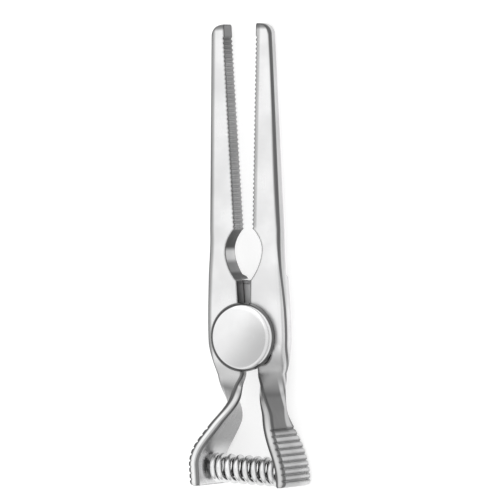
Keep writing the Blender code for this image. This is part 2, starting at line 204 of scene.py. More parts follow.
def spread(tree, value, low, high, to_low=0.0, to_high=1.0, shape="SMOOTHSTEP"):
    """value carried from one range to another, and held at its ends."""
    node = wired(tree, "ShaderNodeMapRange", {
        "Value": value, "From Min": low, "From Max": high, "To Min": to_low, "To Max": to_high,
    }, interpolation_type=shape)
    return node.outputs[0]


def within(tree, value, start, full, fading, end):
    """1 between full and fading, and 0 before start and past end."""
    return product(tree, spread(tree, value, start, full), spread(tree, value, end, fading))


def tinted(tree, factor, first, second):
    return wired(tree, "ShaderNodeMix", {0: factor, 6: first, 7: second}, data_type="RGBA").outputs[2]


def grey(level):
    return (level, level, level * 1.004, 1)


def grey_from(tree, level):
    """A grey whose level another node gives."""
    return wired(tree, "ShaderNodeCombineXYZ", {0: level, 1: level, 2: level}).outputs[0]


def new_group(name, inputs, outputs):
    group = bpy.data.node_groups.new(name, "ShaderNodeTree")
    for title, kind, value in inputs:
        socket = group.interface.new_socket(title, in_out="INPUT", socket_type=f"NodeSocket{kind}")
        if value is not None:
            socket.default_value = value
    for title in outputs:
        group.interface.new_socket(title, in_out="OUTPUT", socket_type="NodeSocketFloat")
    return group, group.nodes.new("NodeGroupInput").outputs, group.nodes.new("NodeGroupOutput").inputs


def grouped(tree, group, **values):
    node = tree.nodes.new("ShaderNodeGroup")
    node.node_tree = group
    for key, value in values.items():
        socket = node.inputs[key.replace("_", " ")]
        if isinstance(value, bpy.types.NodeSocket):
            tree.links.new(value, socket)
        else:
            socket.default_value = value
    return node.outputs


# effects that the finishes share


def brushing_group():
    """Fine scratches drawn out along one direction, with a few deeper ones."""
    tree, given, out = new_group(
        "brushing",
        [("Position", "Vector", None), ("Stretch", "Vector", (1, 1, 1)), ("Depth", "Float", 1.0)],
        ("Height", "Streaks"),
    )
    place = vector_maths(tree, "MULTIPLY", given["Position"], given["Stretch"])[0]
    slow = vector_maths(tree, "MULTIPLY", place, (0.19, 0.19, 0.19))[0]
    fine = noise(tree, place, 1.0, detail=5.0, roughness=0.62)
    broad = noise(tree, slow, 1.0, detail=3.0, roughness=0.55)
    both = maths(tree, "MULTIPLY_ADD", broad, 0.6, product(tree, fine, 0.4))
    tree.links.new(product(tree, both, given["Depth"]), out["Height"])
    tree.links.new(spread(tree, both, 0.36, 0.64), out["Streaks"])
    return tree


def mottling_group():
    """Slow, soft changes of tone, as hand polishing leaves."""
    tree, given, out = new_group(
        "mottling", [("Position", "Vector", None), ("Patches per metre", "Float", 160.0)], ("Tone",),
    )
    patches = noise(tree, given["Position"], given["Patches per metre"], detail=3.0, roughness=0.5)
    tree.links.new(spread(tree, patches, 0.34, 0.66), out["Tone"])
    return tree


def crevice_group():
    """1 out in the open, falling towards 0 in tooth roots, grooves and under the rivet's head: the mask for
    painted shade.
    """
    tree, given, out = new_group(
        "crevice", [("Reach", "Float", 0.001), ("Softness", "Float", 0.7)], ("Open",),
    )
    shade = wired(tree, "ShaderNodeAmbientOcclusion", {"Distance": given["Reach"]}, samples=8)
    tree.links.new(maths(tree, "POWER", shade.outputs["AO"], given["Softness"]), out["Open"])
    return tree


def edge_lines_group():
    """1 along edges, 0 on flat faces."""
    tree, given, out = new_group(
        "edge_lines", [("Width", "Float", 0.0002), ("Sharpness", "Float", 1.0)], ("Edge",),
    )
    rounded_normal = wired(tree, "ShaderNodeBevel", {"Radius": given["Width"]}, samples=6).outputs[0]
    normal = wired(tree, "ShaderNodeNewGeometry").outputs["Normal"]
    level = vector_maths(tree, "DOT_PRODUCT", rounded_normal, normal)["Value"]
    drop = maths(tree, "SUBTRACT", 1.0, level)
    tree.links.new(maths(tree, "MULTIPLY", drop, given["Sharpness"], clamp=True), out["Edge"])
    return tree


# how squarely a face has to look to the front to count as a rounded corner: from, full, fading, to
CORNER_FACING = (0.12, 0.4, 0.88, 0.985)
# where the painted dark line down an arm's outer side ends, in millimetres along the arm
LINE_END = {LEFT: -5.5, RIGHT: -9.0}
TIP_LINE_FADE = (49, 48)
REAR_LINE_FADE = (-4, -7)
FACE_OUTPUTS = (
    "Broad", "Corner", "Outward", "Along", "Depth", "Jaw Margin", "Tail Margin", "Rightward", "Reach",
    "On Right", "Lined",
)


def arm_faces_group():
    """Tells an arm's faces apart, also along its twisted tail, and how far a point is from their edges.

    Broad is how squarely a point faces the way its front does: 1 on the front, -1 on the rear, 0 on a side.
    Along and Reach are its place in its own arm's frame, Depth is how far it lies behind the front, and
    Rightward how far right of the tail's middle. Lengths are in millimetres.
    """
    tree, given, out = new_group(
        "arm_faces", [("Position", "Vector", None), ("Normal", "Vector", None)], FACE_OUTPUTS,
    )
    place = in_millimetres(tree, given["Position"])
    facing = parts(tree, given["Normal"])
    on_right = maths(tree, "GREATER_THAN", place["X"], 0.0)
    side = maths(tree, "MULTIPLY_ADD", on_right, 2.0, -1.0)
    # the point in its own arm's frame, with the jaws' opening taken out
    sideways = product(tree, place["X"], side)
    sine, cosine = sin(HALF_OPENING), cos(HALF_OPENING)
    along = maths(tree, "ADD", product(tree, sideways, sine), product(tree, place["Y"], cosine))
    reach = maths(tree, "SUBTRACT", product(tree, sideways, cosine), product(tree, place["Y"], sine))
    twist_length = by_side(tree, on_right, TWIST_LENGTH[LEFT], TWIST_LENGTH[RIGHT])
    share = maths(tree, "DIVIDE", maths(tree, "SUBTRACT", TWIST_START_Y, along), twist_length, clamp=True)
    swing = maths(tree, "SINE", product(tree, maths(tree, "POWER", share, TWIST_POWER), pi / 2))
    twist = product(tree, swing, FULL_TWIST)
    twist_sine = maths(tree, "SINE", twist)
    twist_cosine = maths(tree, "COSINE", twist)
    # a bowed tail's faces also turn a little along it, which is left out of account
    level = maths(tree, "SQRT", maths(tree, "SUBTRACT", 1.0, product(tree, facing["Y"], facing["Y"])))
    level = maths(tree, "MAXIMUM", level, 0.35)
    outward = maths(tree, "DIVIDE", product(tree, facing["X"], side), level)
    upward = maths(tree, "DIVIDE", facing["Z"], level)
    broad = maths(tree, "MULTIPLY_ADD", outward, twist_sine, product(tree, upward, twist_cosine))
    rear_corner = within(tree, product(tree, broad, -1.0), *CORNER_FACING)
    rear_corner = product(tree, rear_corner, spread(tree, along, *REAR_LINE_FADE))
    # an outer front corner has its line further down the side, as far as that line goes
    line_end = by_side(tree, on_right, LINE_END[LEFT], LINE_END[RIGHT])
    lined = spread(tree, along, line_end, maths(tree, "ADD", line_end, 1.0))
    outer_corner = product(tree, lined, spread(tree, along, *TIP_LINE_FADE), spread(tree, outward, 0.05, 0.2))
    front_corner = within(tree, broad, *CORNER_FACING)
    front_corner = product(tree, front_corner, maths(tree, "SUBTRACT", 1.0, outer_corner))
    outer_x = maths(tree, "ADD", spread(tree, along, 0, JAW_ROOT_Y, JOINT_OUTER_X, ROOT_OUTER_X), spread(
        tree, along, JAW_ROOT_Y, JAW_LENGTH, 0, TIP_OUTER_X - ROOT_OUTER_X, shape="LINEAR",
    ))
    jaw_margin = maths(tree, "SUBTRACT", outer_x, reach)
    # how far the point lies from the tail's outer edge, across its broad face, and across its thickness
    centre = by_side(tree, on_right, *(
        spread(tree, along, BOW_Y[arm], BEND_Y[arm], WAIST_CENTRE_X, GRIP_CENTRE_X[arm])
        for arm in (LEFT, RIGHT)
    ))
    layer_height = spread(tree, along, TWIST_START_Y, TWIST_START_Y - WIDENING_LENGTH, -TAIL_Z, 0)
    middle = maths(tree, "MULTIPLY_ADD", side, layer_height, MIDDLE_Z)
    beside = maths(tree, "SUBTRACT", reach, centre)
    below = maths(tree, "SUBTRACT", middle, place["Z"])
    across = maths(tree, "MULTIPLY_ADD", beside, twist_cosine, product(tree, below, twist_sine))
    through = maths(tree, "SUBTRACT", product(tree, beside, twist_sine), product(tree, below, twist_cosine))
    width = spread(tree, along, WIDENING_Y, WIDENING_Y - WIDENING_LENGTH, WAIST_WIDTH, GRIP_WIDTH)
    tail_margin = maths(tree, "SUBTRACT", product(tree, width, 0.5), across)
    # how far it lies behind the front of the jaw or the joint
    front = spread(tree, along, THROAT_LOW_Y, JAW_ROOT_Y, JOINT_THICKNESS / 2, ROOT_FRONT_Z)
    drop = spread(tree, along, JAW_ROOT_Y, JAW_LENGTH, 0, ROOT_FRONT_Z - TIP_HALF_THICKNESS)
    shoulder = spread(tree, along, SHOULDER_Y, TWIST_START_Y, 0, 2 * TAIL_Z)
    front = maths(tree, "SUBTRACT", front, maths(tree, "MULTIPLY_ADD", shoulder, on_right, drop))
    depth = maths(tree, "SUBTRACT", maths(tree, "ADD", front, MIDDLE_Z), place["Z"])
    corner = maths(tree, "ADD", front_corner, rear_corner)
    rightward = product(tree, through, side)
    for title, value in zip(FACE_OUTPUTS, (
        broad, corner, outward, along, depth, jaw_margin, tail_margin, rightward, reach, on_right, lined,
    )):
        tree.links.new(value, out[title])
    return tree


def coil_facing_group():
    """1 where the wire faces away from the coil's axis, -1 where it faces the inside of the coil."""
    tree, given, out = new_group(
        "coil_facing",
        [("Position", "Vector", None), ("Normal", "Vector", None), ("Axis Point", "Vector", None),
         ("Axis", "Vector", None)],
        ("Facing",),
    )
    reach = vector_maths(tree, "SUBTRACT", given["Position"], given["Axis Point"])[0]
    foot = vector_maths(tree, "PROJECT", reach, given["Axis"])[0]
    away = vector_maths(tree, "NORMALIZE", vector_maths(tree, "SUBTRACT", reach, foot)[0])[0]
    tree.links.new(vector_maths(tree, "DOT_PRODUCT", away, given["Normal"])["Value"], out["Facing"])
    return tree


arm_faces = arm_faces_group()
coil_facing = coil_facing_group()
brushing = brushing_group()
mottling = mottling_group()
crevice = crevice_group()
edge_lines = edge_lines_group()


# finishes


# how bright the steel is painted in each place: FACE_TONE and WIRE_TONE are the steel's own, and the other
# tones are painted shade and painted highlight
FACE_TONE = 0.8
SIDE_TONE = 0.6
REAR_SIDE_TONE = 0.84
BAND_TONE = 0.56
TIP_BAND_TONE = 0.22
SLOT_TONE = 0.24
THROAT_TONE = 0.04
THROAT_HALF_HIGHLIGHT_TONE = 0.22
THROAT_HIGHLIGHT_TONE = 0.66
TAIL_TOP_TONE = {LEFT: 0.58, RIGHT: 0.5}
TAIL_TONE = 0.17
STRIP_HIGHLIGHT_TONE = 0.55
PAD_TONE = 0.53
PAD_EDGE_TONE = 0.7
SIDE_HIGHLIGHT_TONE = 0.75
TAIL_INNER_TONE = 0.38
SEAT_TONE = 0.8
EDGE_TONE = {LEFT: 0.85, RIGHT: 0.62}
EDGE_FLANK_TONE = 0.45
EDGE_LEFT_TONE = 0.12
OUTLINE_TONE = 0.08
WIRE_TONE = 0.78
COIL_INSIDE_TONE = 0.11
HEAD_TONES = (0.84, 0.5)
HEAD_RIM_TONES = (0.95, 0.66)
HEAD_RING_TONE = 0.1

# where the tones change along an arm, in millimetres: from and to, or from, full, fading and to
TIP_FADE = (49.2, 49.8)
TIP_BAND_FADE = (43, 48)
TEETH_FADE = (17.5, 17.2)
TEETH_SHADE_START = (17, 18)
THROAT_HIGHLIGHT_SPAN = (11.9, 12.8, 13.8, 14.7)
THROAT_HALF_HIGHLIGHT_SPAN = (10.2, 10.8, 12.0, 12.9)
SLOT_FADE = (9.4, 9.0)
SLOT_LINE_SPAN = (4.0, 4.5, 9.0, 9.4)
TAIL_FADE = (-2.5, -5.0)
TAIL_DARKENING = {LEFT: (-5.5, -10.5), RIGHT: (-3.5, -9.5)}
STRIP_SPAN = (-15.5, -14.5, -8.5, -6.0)
PAD_FADE = (-14.9, -15.4)
SEAT_FADE = (-16.0, -18.5)
EDGE_DIMMING = (-9.0, -15.0)

# where they change across it, in millimetres from an edge or below the front
SIDE_FADE = (1.5, 2.4)
OUTER_SHADE_FADE = (1.1, 0.6)
TEETH_SHADE_FADE = (1.8, 1.45)
SLOT_LINE_FADE = (1.3, 0.95)
PAD_EDGE_FADE = (5, 1)
EDGE_RIGHT_FADE = (0.15, 0.45)
EDGE_LEFT_FADE = (-0.2, -0.5)
# the painted highlight strip on a tail's outer face: its width from and to along the arm, and its shares of
# that width
STRIP_WIDENING = (-11, -14.5, 1.1, 2.8)
STRIP_SHARES = (0.25, 0.45, 0.85, 1.1)
# how far the right arm's painted outer line drops below the front, from and to along the arm
DROP_TO_JOINT = (16, 2.5, 0.03, 0.85)
DROP_DOWN_TAIL = (-5.6, -8, -0.05, 0.6)

# the rivet's head: its painted shading gradient runs along X minus Y, its painted highlight rim starts where
# it turns from facing up, and its painted shade ring faces away from the light side
HEAD_GRADIENT = (-4, 6.5)
HEAD_FADE = (MIDDLE_Z + 2.2, MIDDLE_Z + 2.4)
HEAD_RIM_FACING = (0.96, 0.92)
HEAD_LIGHT_SIDE = (0.623, 0.0, 0.782)
HEAD_RING_FACING = (0.7, 0.63)

# noise cells per metre along each axis
ALONG_Y = (5200, 260, 5200)
ROUND_MARKS = (2600, 2600, 2600)

# the lines painted along sharp edges, pale as a painted highlight or dark as painted shade: their width, how
# strong they are, and their tone
EDGE_HIGHLIGHT_LINES = (0.2 * MM, 2.0, 0.9)
EDGE_SHADE_LINES = (0.55 * MM, 11.0, 0.12)


def finished(name, tree_body, patch_and_shade_tone, stretch, roughness, bump=0.15, shade_softness=0.5, edges=EDGE_HIGHLIGHT_LINES):
    """Steel coloured by tree_body. Scratches run the way stretch is least, crevices get painted shade, and
    edges, when given, get painted lines.
    """
    made = bpy.data.materials.new(name)
    made.use_nodes = True
    tree = made.node_tree
    shader = tree.nodes["Principled BSDF"]
    position = tree.nodes.new("ShaderNodeTexCoord").outputs["Object"]
    normal = tree.nodes.new("ShaderNodeNewGeometry").outputs["Normal"]
    scratches = grouped(tree, brushing, Position=position, Stretch=stretch, Depth=1.0)
    patches = grouped(tree, mottling, Position=position)
    recess = grouped(tree, crevice, Reach=0.5 * MM, Softness=shade_softness)
    body = tree_body(tree, position, normal)
    worn = tinted(tree, product(tree, patches["Tone"], 0.16), body, grey(patch_and_shade_tone * 1.2))
    # painted shade: crevices darkened towards the darkest tone by ambient occlusion
    colour = tinted(tree, maths(tree, "SUBTRACT", 1.0, recess["Open"], clamp=True), worn, grey(patch_and_shade_tone))
    if edges:
        line_width, line_strength, line_tone = edges
        # lines painted along sharp edges: painted highlight when their tone is pale, painted shade when it is
        # dark
        edge = grouped(tree, edge_lines, Width=line_width, Sharpness=line_strength)
        colour = tinted(tree, edge["Edge"], colour, grey(line_tone))
    tree.links.new(colour, shader.inputs["Base Color"])
    shader.inputs["Metallic"].default_value = 1
    rough = maths(tree, "MULTIPLY_ADD", scratches["Streaks"], 0.1, roughness - 0.05)
    rough = maths(tree, "MULTIPLY_ADD", patches["Tone"], 0.05, rough)
    tree.links.new(rough, shader.inputs["Roughness"])
    relief = wired(tree, "ShaderNodeBump", {
        "Height": scratches["Height"], "Strength": bump, "Distance": 0.03 * MM,
    })
    tree.links.new(relief.outputs[0], shader.inputs["Normal"])
    return made


def plain(level):
    return lambda tree, position, normal: grey(level)


def on_broad_faces(tree, faces):
    """1 on an arm's front and rear, 0 on its sides and narrow edges."""
    return spread(tree, maths(tree, "ABSOLUTE", faces["Broad"]), 0.3, 0.9)


def jaw_body(tree, faces):
    """Ground bright in front; painted shade on the sides next to the front, painted paler behind; a slot and
    throat in painted shade.
    """
    along = faces["Along"]
    # the outer side: painted shade next to the front, painted lighter further back
    outer = tinted(tree, spread(tree, faces["Depth"], *SIDE_FADE), grey(SIDE_TONE), grey(REAR_SIDE_TONE))
    # the throat's wall gets a painted highlight in its middle and painted shade at both ends
    throat = tinted(tree, within(tree, along, *THROAT_HALF_HIGHLIGHT_SPAN), grey(THROAT_TONE), grey(THROAT_HALF_HIGHLIGHT_TONE))
    throat = tinted(tree, within(tree, along, *THROAT_HIGHLIGHT_SPAN), throat, grey(THROAT_HIGHLIGHT_TONE))
    # the slot's side below the teeth and the inner side along the teeth are painted shade, darker towards the
    # tip
    below_teeth = tinted(tree, spread(tree, along, *SLOT_FADE), throat, grey(SLOT_TONE))
    band = tinted(tree, spread(tree, along, *TIP_BAND_FADE), grey(BAND_TONE), grey(TIP_BAND_TONE))
    inner = tinted(tree, spread(tree, along, *TEETH_FADE), band, below_teeth)
    side = tinted(tree, spread(tree, faces["Outward"], -0.2, 0.2), inner, outer)
    # the front's very tip is painted dark, as painted shade
    front = tinted(tree, spread(tree, along, *TIP_FADE, 0, 0.75), grey(FACE_TONE), grey(OUTLINE_TONE))
    broad = on_broad_faces(tree, faces)
    body = tinted(tree, broad, side, front)
    # the left arm's front is shaded along its outer edge, the right one's along its teeth and the slot
    by_edge = spread(tree, faces["Jaw Margin"], *OUTER_SHADE_FADE, 0, 0.6)
    by_teeth = spread(tree, faces["Reach"], *TEETH_SHADE_FADE, 0, 0.42)
    by_teeth = product(tree, by_teeth, spread(tree, along, *TEETH_SHADE_START))
    by_slot = spread(tree, faces["Reach"], *SLOT_LINE_FADE, 0, 0.75)
    by_slot = product(tree, by_slot, within(tree, along, *SLOT_LINE_SPAN))
    shade = by_side(tree, faces["On Right"], by_edge, maths(tree, "MAXIMUM", by_teeth, by_slot))
    return tinted(tree, product(tree, shade, broad), body, grey(OUTLINE_TONE))


def outer_line(tree, faces):
    """Where a painted dark line, as painted shade, follows the outer corner. On the right arm it runs down
    the side past the joint.
    """
    along = faces["Along"]
    drop = maths(tree, "ADD", spread(tree, along, *DROP_TO_JOINT), spread(tree, along, *DROP_DOWN_TAIL))
    start = product(tree, drop, faces["On Right"])
    past_start = maths(tree, "SUBTRACT", faces["Depth"], start)
    past_end = maths(tree, "SUBTRACT", faces["Depth"], maths(tree, "MULTIPLY_ADD", start, 1.2, 0.7))
    return product(tree, spread(tree, past_start, 0, 0.14), spread(tree, past_end, 0.15, -0.1),
                   spread(tree, faces["Outward"], 0.02, 0.15), faces["Lined"])


def tail_body(tree, faces):
    """Painted shade darkening the tail below the joint, with painted highlights on its narrow edges, on a
    strip of its face and by the spring's seat, and a ridged pad painted lighter again.
    """
    along = faces["Along"]
    # painted shade: the outer face darkens down the tail
    outer = grey_from(tree, by_side(tree, faces["On Right"], *(
        spread(tree, along, *TAIL_DARKENING[arm], TAIL_TOP_TONE[arm], TAIL_TONE) for arm in (LEFT, RIGHT)
    )))
    # a painted highlight strip along the outer face's edge
    strip_width = spread(tree, along, *STRIP_WIDENING)
    strip = within(tree, maths(tree, "DIVIDE", faces["Tail Margin"], strip_width), *STRIP_SHARES)
    strip = product(tree, strip, within(tree, along, *STRIP_SPAN))
    outer = tinted(tree, strip, outer, grey(STRIP_HIGHLIGHT_TONE))
    # the pad is painted lighter than the tail, with a painted highlight towards its rear edge
    at_pad_edge = spread(tree, faces["Tail Margin"], *PAD_EDGE_FADE)
    pad = tinted(tree, at_pad_edge, grey(PAD_TONE), grey(PAD_EDGE_TONE))
    outer = tinted(tree, spread(tree, along, *PAD_FADE), outer, pad)
    # the inner face is painted shade, painted lighter towards the spring's seat
    inner = tinted(tree, spread(tree, along, *SEAT_FADE), grey(TAIL_INNER_TONE), grey(SEAT_TONE))
    broad_face = tinted(tree, spread(tree, faces["Broad"], -0.2, 0.2), inner, outer)
    # the narrow edge gets a painted highlight along its middle and painted shade on its left
    core = by_side(tree, faces["On Right"], EDGE_TONE[LEFT], EDGE_TONE[RIGHT])
    core = grey_from(tree, product(tree, core, spread(tree, along, *EDGE_DIMMING, 0.8, 1)))
    edge = tinted(tree, spread(tree, faces["Rightward"], *EDGE_RIGHT_FADE), core, grey(EDGE_FLANK_TONE))
    edge = tinted(tree, spread(tree, faces["Rightward"], *EDGE_LEFT_FADE), edge, grey(EDGE_LEFT_TONE))
    # the right tail's outer side gets a painted highlight as far as the painted dark line runs down it
    side_highlight = product(tree, spread(tree, faces["Outward"], 0.2, 0.5), faces["On Right"], faces["Lined"])
    edge = tinted(tree, side_highlight, edge, grey(SIDE_HIGHLIGHT_TONE))
    return tinted(tree, on_broad_faces(tree, faces), edge, broad_face)


def forged_body(tree, position, normal):
    """The jaw's and the tail's tones, met at the joint, with painted shade as dark lines along the rounded
    corners.
    """
    faces = grouped(tree, arm_faces, Position=position, Normal=normal)
    along = faces["Along"]
    body = tinted(tree, spread(tree, along, *TAIL_FADE), jaw_body(tree, faces), tail_body(tree, faces))
    corner = product(tree, faces["Corner"], spread(tree, along, *TAIL_FADE, 0.92, 0.78))
    line = product(tree, outer_line(tree, faces), spread(tree, along, *TAIL_FADE, 0.92, 0.72))
    return tinted(tree, maths(tree, "MAXIMUM", corner, line), body, grey(OUTLINE_TONE))


def head_body(tree, position, normal):
    """The rivet's head: a polished face with painted shading, paler towards one side, then a painted
    highlight rim and a ring of painted shade.
    """
    place = in_millimetres(tree, position)
    slant = spread(tree, maths(tree, "SUBTRACT", place["X"], place["Y"]), *HEAD_GRADIENT)
    face, rim = (tinted(tree, slant, *map(grey, tones)) for tones in (HEAD_TONES, HEAD_RIM_TONES))
    rimmed = tinted(tree, spread(tree, parts(tree, normal)["Z"], *HEAD_RIM_FACING), face, rim)
    lit = vector_maths(tree, "DOT_PRODUCT", normal, HEAD_LIGHT_SIDE)["Value"]
    ring = product(tree, spread(tree, lit, *HEAD_RING_FACING), spread(tree, place["Z"], *HEAD_FADE))
    return tinted(tree, ring, rimmed, grey(HEAD_RING_TONE))


def wire_body(tree, position, normal):
    """Bright wire, with painted shade on the inside of the coil."""
    axis = (RIGHT_SEAT - LEFT_SEAT).normalized()
    around = grouped(tree, coil_facing, Position=position, Normal=normal, Axis_Point=LEFT_SEAT, Axis=axis)
    return tinted(tree, spread(tree, around["Facing"], 0.15, -0.35), grey(WIRE_TONE), grey(COIL_INSIDE_TONE))


arm_steel = finished("brushed_arm_steel", forged_body, 0.16, ALONG_Y, 0.3, shade_softness=0.3, edges=EDGE_SHADE_LINES)
head_steel = finished("polished_head_steel", head_body, 0.3, ROUND_MARKS, 0.2, bump=0.05, edges=None)
washer_finish = finished("plain_washer_steel", plain(0.66), 0.25, ROUND_MARKS, 0.34)
peg_finish = finished("turned_peg_steel", plain(0.6), 0.25, ROUND_MARKS, 0.3)
wire_finish = finished("drawn_wire_steel", wire_body, 0.1, ROUND_MARKS, 0.18, bump=0.04)

for node, finish in {
    "pivot_washer": washer_finish, "left_spring_peg": peg_finish, "right_spring_peg": peg_finish,
}.items():
    mesh_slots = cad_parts[node].data.materials
    for index in range(len(mesh_slots)):
        mesh_slots[index] = finish


# the forged arms


def ease(share):
    share = min(max(share, 0), 1)
    return share * share * (3 - 2 * share)


def between(start, end, share):
    return start + (end - start) * share


def spaced(start, end, count):
    return [between(start, end, i / count) for i in range(count)]


def jaw_share(y):
    return (y - JAW_ROOT_Y) / (JAW_LENGTH - JAW_ROOT_Y)


def block_outer_x(y):
    if y >= JAW_ROOT_Y:
        return between(ROOT_OUTER_X, TIP_OUTER_X, jaw_share(y))
    return between(JOINT_OUTER_X, ROOT_OUTER_X, ease(y / JAW_ROOT_Y) * 0.6 + max(y, 0) / JAW_ROOT_Y * 0.4)


def front_z(y):
    if y >= JAW_ROOT_Y:
        return between(ROOT_FRONT_Z, TIP_HALF_THICKNESS, jaw_share(y))
    return between(JOINT_THICKNESS / 2, ROOT_FRONT_Z, ease((y - THROAT_LOW_Y) / (JAW_ROOT_Y - THROAT_LOW_Y)))


def rear_z(y):
    if y >= JAW_ROOT_Y:
        return between(ROOT_REAR_Z, -TIP_HALF_THICKNESS, jaw_share(y))
    return between(-JOINT_THICKNESS / 2, ROOT_REAR_Z, ease((y - REAR_STEP_Y) / REAR_STEP_LENGTH))


def throat_cut(y):
    share = (JAW_ROOT_Y - y) / (JAW_ROOT_Y - THROAT_LOW_Y)
    if not 0 < share < 1:
        return 0
    warped = share / THROAT_PEAK / 2 if share < THROAT_PEAK else 1 - (1 - share) / (1 - THROAT_PEAK) / 2
    return THROAT_DEPTH * sin(pi * warped) ** THROAT_POWER


def tail_centre_x(y, side):
    if y > WAIST_Y:
        top = (INNER_X + TAIL_OUTER_X) / 2
        return between(WAIST_CENTRE_X, top, ease((y - WAIST_Y) / (TWIST_START_Y - WAIST_Y)))
    share = ease((BOW_Y[side] - y) / (BOW_Y[side] - BEND_Y[side]))
    return between(WAIST_CENTRE_X, GRIP_CENTRE_X[side], share)


def tail_twist(y, side):
    share = min(max((TWIST_START_Y - y) / TWIST_LENGTH[side], 0), 1)
    return FULL_TWIST * sin(pi / 2 * share**TWIST_POWER)


def strap_width(y):
    if y > WAIST_Y:
        return between(WAIST_WIDTH, TAIL_OUTER_X - INNER_X, ease((y - WAIST_Y) / (TWIST_START_Y - WAIST_Y)))
    return between(WAIST_WIDTH, GRIP_WIDTH, ease((WIDENING_Y - y) / WIDENING_LENGTH))


def rounded(corners, radii):
    """A closed outline through corners (x, z), each turned by an arc."""
    outline = []
    for i, (here, radius) in enumerate(zip(corners, radii)):
        back = (corners[i - 1] - here).normalized()
        ahead = (corners[(i + 1) % len(corners)] - here).normalized()
        half = back.angle(ahead) / 2
        middle = here + (back + ahead).normalized() * radius / sin(half)
        first = here + back * radius * cos(half) / sin(half) - middle
        last = here + ahead * radius * cos(half) / sin(half) - middle
        sweep = atan2(first.x * last.y - first.y * last.x, first.dot(last))
        for step in range(CORNER_POINTS):
            outline.append(middle + Matrix.Rotation(sweep * step / (CORNER_POINTS - 1), 2) @ first)
    return outline


def section(y, middle, width, thickness, twist, radii, sunk=0):
    """One ring of an arm, wrung about its middle. sunk lowers its front face, for a groove."""
    long_side = Vector((-cos(twist), sin(twist)))
    front = Vector((sin(twist), cos(twist)))
    corners = []
    for end, face in ((1, -1), (1, 1), (-1, 1), (-1, -1)):
        depth = thickness / 2 - (sunk if face == 1 else 0)
        corners.append(middle + long_side * end * width / 2 + front * face * depth)
    return [Vector((x, y, z)) for x, z in rounded(corners, radii)]


def block_ring(y, cut=0, corner=0, inset=0):
    inner = INNER_X + cut
    outer = block_outer_x(y) - corner
    thickness = front_z(y) - rear_z(y) - 2 * inset
    room = min(0.45 * thickness, 0.8 * (outer - inner))
    radii = [JAW_EDGE_ROUNDING, JAW_EDGE_ROUNDING, min(FRONT_ROUNDING, room), min(REAR_ROUNDING, room)]
    middle = Vector(((inner + outer) / 2, (front_z(y) + rear_z(y)) / 2))
    return section(y, middle, outer - inner, thickness, 0, radii)


def shoulder_ring(y, side):
    share = (SHOULDER_Y - y) / (SHOULDER_Y - TWIST_START_Y)
    level = ease(share)
    outer = between(block_outer_x(SHOULDER_Y), TAIL_OUTER_X, share**SHOULDER_POWER)
    middle = Vector(((INNER_X + outer) / 2, LAYER[side] * TAIL_Z * level))
    thickness = between(JOINT_THICKNESS, TAIL_THICKNESS, level)
    block = (JAW_EDGE_ROUNDING, JAW_EDGE_ROUNDING, FRONT_ROUNDING, REAR_ROUNDING)
    radii = [between(radius, STRAP_ROUNDING, level) for radius in block]
    return section(y, middle, outer - INNER_X, thickness, 0, radii)


def strap_ring(y, side, sunk=0, inset=0):
    step = 0.1
    slope = (tail_centre_x(y - step, side) - tail_centre_x(y + step, side)) / (2 * step)
    twist = tail_twist(y, side)
    lean = hypot(1, slope * sin(twist))
    centred = ease((TWIST_START_Y - y) / WIDENING_LENGTH)
    middle = Vector((tail_centre_x(y, side), LAYER[side] * TAIL_Z * (1 - centred)))
    thickness = TAIL_THICKNESS * lean - 2 * inset
    radii = [min(STRAP_ROUNDING, 0.45 * (thickness - sunk))] * 4
    return section(y, middle, strap_width(y) - 2 * inset, thickness, twist, radii, sunk)


def arm_rings(side):
    """Every ring of one arm, from the jaw's tip to the grip's end."""
    rings = []
    for i in range(TIP_STATIONS):
        angle = pi / 2 * i / (TIP_STATIONS - 1)
        y = JAW_LENGTH - TIP_CORNER_RADIUS * (1 - cos(angle))
        inset = max(0, END_CHAMFER - (JAW_LENGTH - y))
        rings.append(block_ring(y, corner=TIP_CORNER_RADIUS * (1 - sin(angle)), inset=inset))
    teeth = int((JAW_LENGTH - TIP_CORNER_RADIUS - JAW_ROOT_Y) / TOOTH_PITCH)
    for i in range(teeth):
        crest = JAW_ROOT_Y + (teeth - i) * TOOTH_PITCH
        root = crest - TOOTH_PITCH / 2
        for y, cut in ((crest, 0), (root, TOOTH_DEPTH)):
            rings += [block_ring(y + TOOTH_LAND, cut=cut), block_ring(y - TOOTH_LAND, cut=cut)]
    throat = spaced(JAW_ROOT_Y, THROAT_LOW_Y, THROAT_STATIONS)
    throat += spaced(REAR_STEP_Y, REAR_STEP_Y + REAR_STEP_LENGTH, REAR_STEP_STATIONS)
    throat.append(REAR_STEP_Y + REAR_STEP_LENGTH)
    rings += [block_ring(y, cut=throat_cut(y)) for y in sorted(throat, reverse=True)]
    rings += [block_ring(y) for y in spaced(THROAT_LOW_Y, SHOULDER_Y, SHOULDER_STATIONS)]
    rings += [shoulder_ring(y, side) for y in spaced(SHOULDER_Y, TWIST_START_Y, SHOULDER_STATIONS)]
    grip_end = GRIP_END_Y[side]
    grooves = [grip_end + GROOVE_END_MARGIN + i * GROOVE_PITCH for i in range(GROOVE_COUNT)][::-1]
    tail_end = grooves[0] + 2 * GROOVE_SHAPE[0][0]
    rings += [strap_ring(y, side) for y in spaced(TWIST_START_Y, tail_end, TAIL_STATIONS)]
    for y in grooves:
        rings += [strap_ring(y + offset, side, sunk=depth) for offset, depth in GROOVE_SHAPE]
    for i in range(GRIP_END_STATIONS):
        # the outer face turns over into the end
        angle = pi / 2 * i / (GRIP_END_STATIONS - 1)
        y = GRIP_END_ROUNDING * (1 - sin(angle))
        inset = max(0, END_CHAMFER - y) / 2
        rings.append(strap_ring(grip_end + y, side, sunk=GRIP_END_ROUNDING * (1 - cos(angle)), inset=inset))
    return rings


